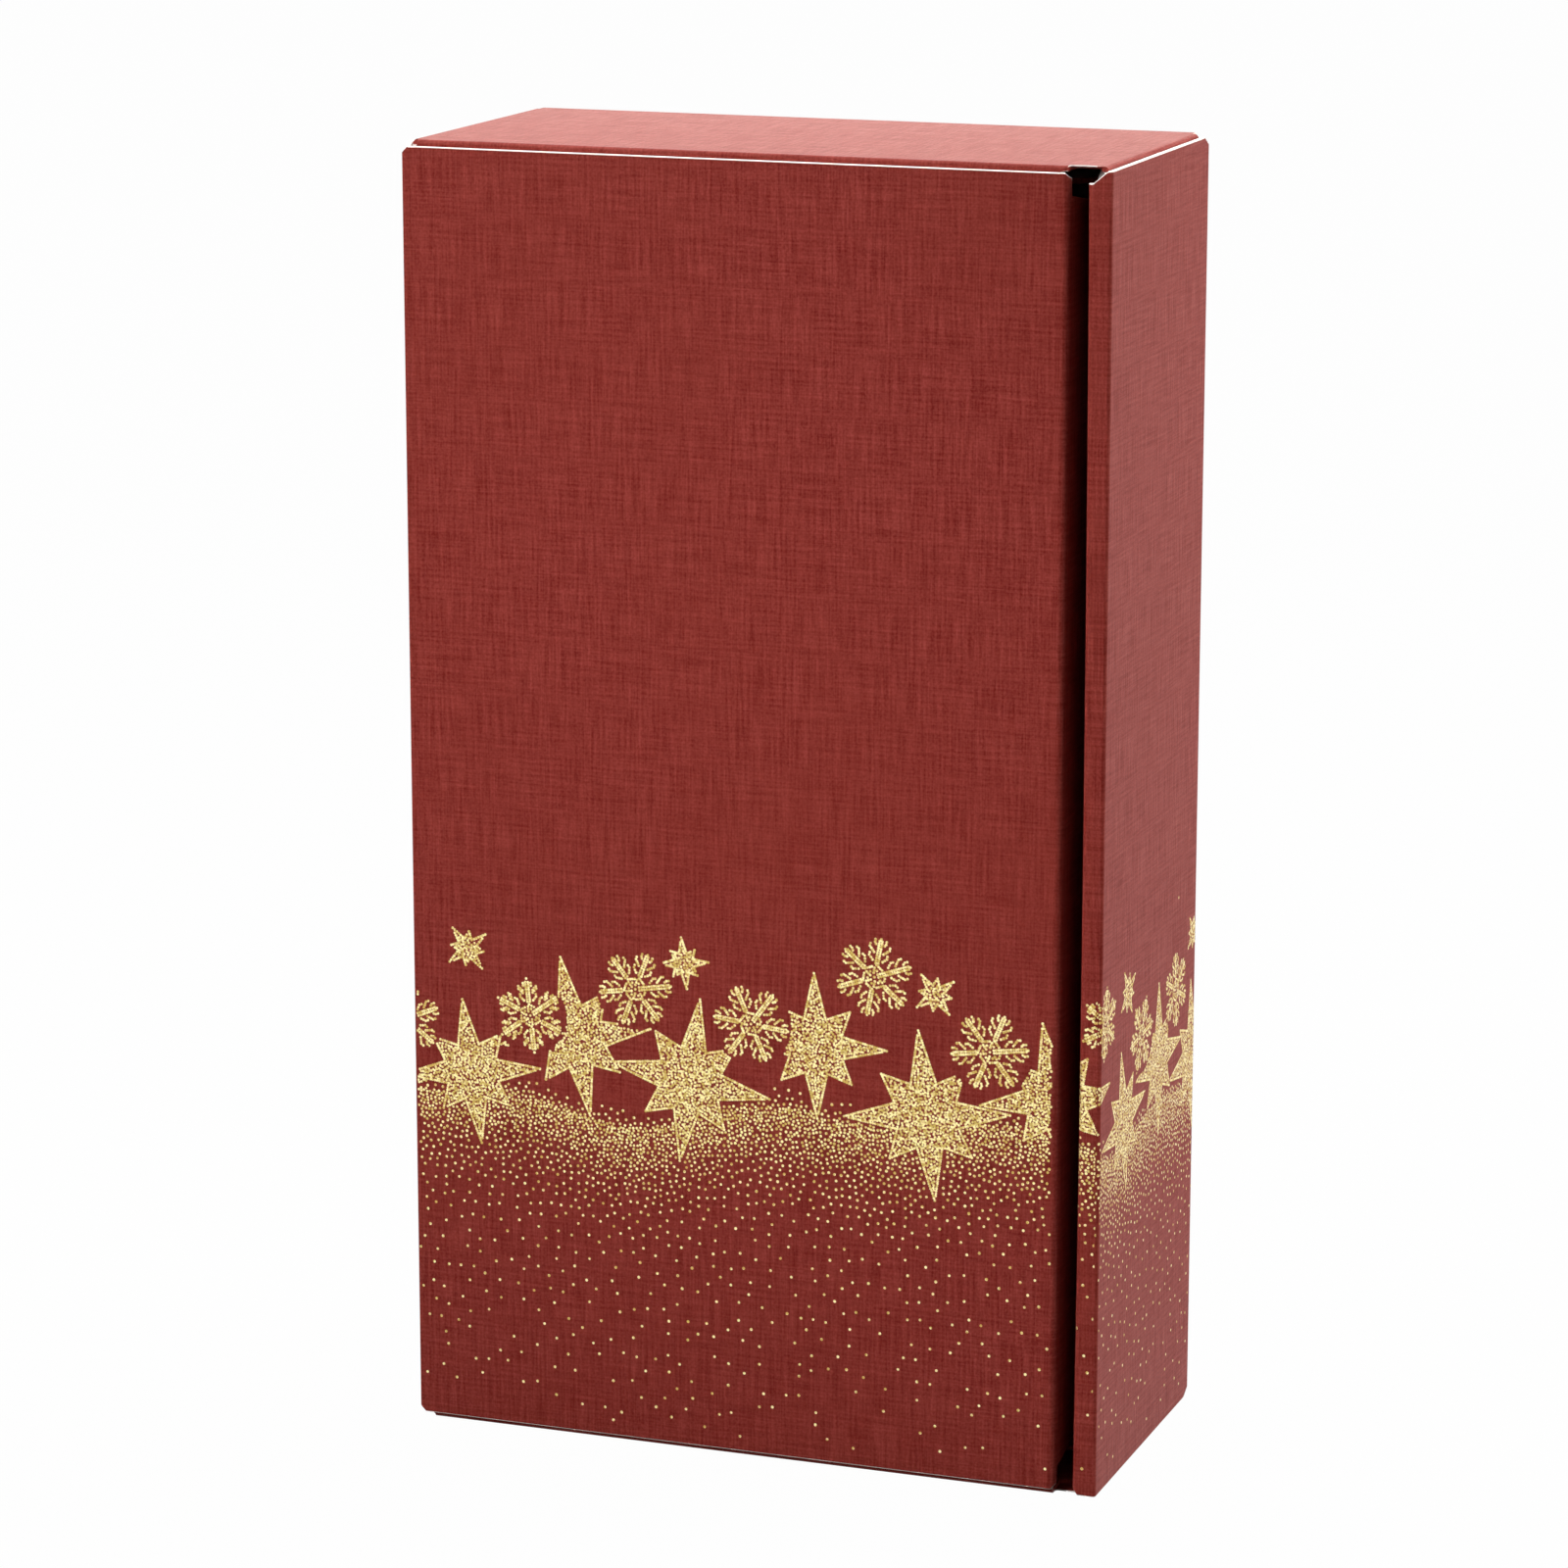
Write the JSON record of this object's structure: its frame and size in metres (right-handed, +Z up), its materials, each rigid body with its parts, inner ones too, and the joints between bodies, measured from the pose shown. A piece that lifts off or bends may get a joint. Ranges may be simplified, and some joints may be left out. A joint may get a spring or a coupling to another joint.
{
  "type": "wine gift box",
  "caption": "Upright wine gift box of folded linen board: side-hinged front lid with a tuck flap, rolled-over double walls, locking tabs and an inner bottle divider.",
  "frame": {"origin": "centre of the footprint, on the floor under the bottom end", "axes": "+X to the right across the front, +Y to the back, +Z up along the bottles; the lid faces -Y"},
  "size_m": [0.204, 0.095, 0.37],
  "materials": {
    "printed_board": "satin red print on a linen-embossed liner, with white raw edges and a white inside",
    "divider_board": "matt uncoated white micro-flute board",
    "gold_print": "hot-stamped gold foil dots"
  },
  "bodies": {
    "tray": {"back_panel": "printed_board", "left_side_panel": "printed_board", "right_side_outer_panel": "printed_board", "right_side_roll_strip": "printed_board", "right_side_inner_panel": "printed_board", "top_end_outer_panel": "printed_board", "top_end_roll_strip": "printed_board", "top_end_inner_panel": "printed_board", "top_left_corner_flap": "printed_board", "top_right_corner_flap": "printed_board", "bottom_end_outer_panel": "printed_board", "bottom_end_roll_strip": "printed_board", "bottom_end_inner_panel": "printed_board", "bottom_left_corner_flap": "printed_board", "bottom_right_corner_flap": "printed_board", "divider_left_foot": "divider_board", "divider_left_web": "divider_board", "divider_front_strip": "divider_board", "divider_right_web": "divider_board", "divider_right_foot": "divider_board"},
    "lid": {"lid_panel": "printed_board"},
    "tuck": {"tuck_flap": "printed_board"}
  },
  "joints": [
    {"name": "lid_crease", "type": "hinge", "parent": "tray", "child": "lid", "pos_m": [-0.10125, -0.04675, 0.185], "axis": [0, 0, -1], "range_deg": [0, 180]},
    {"name": "tuck_crease", "type": "hinge", "parent": "lid", "child": "tuck", "pos_m": [0.0879, -0.045, 0.185], "axis": [0, 0, 1], "range_deg": [0, 80]}
  ]
}
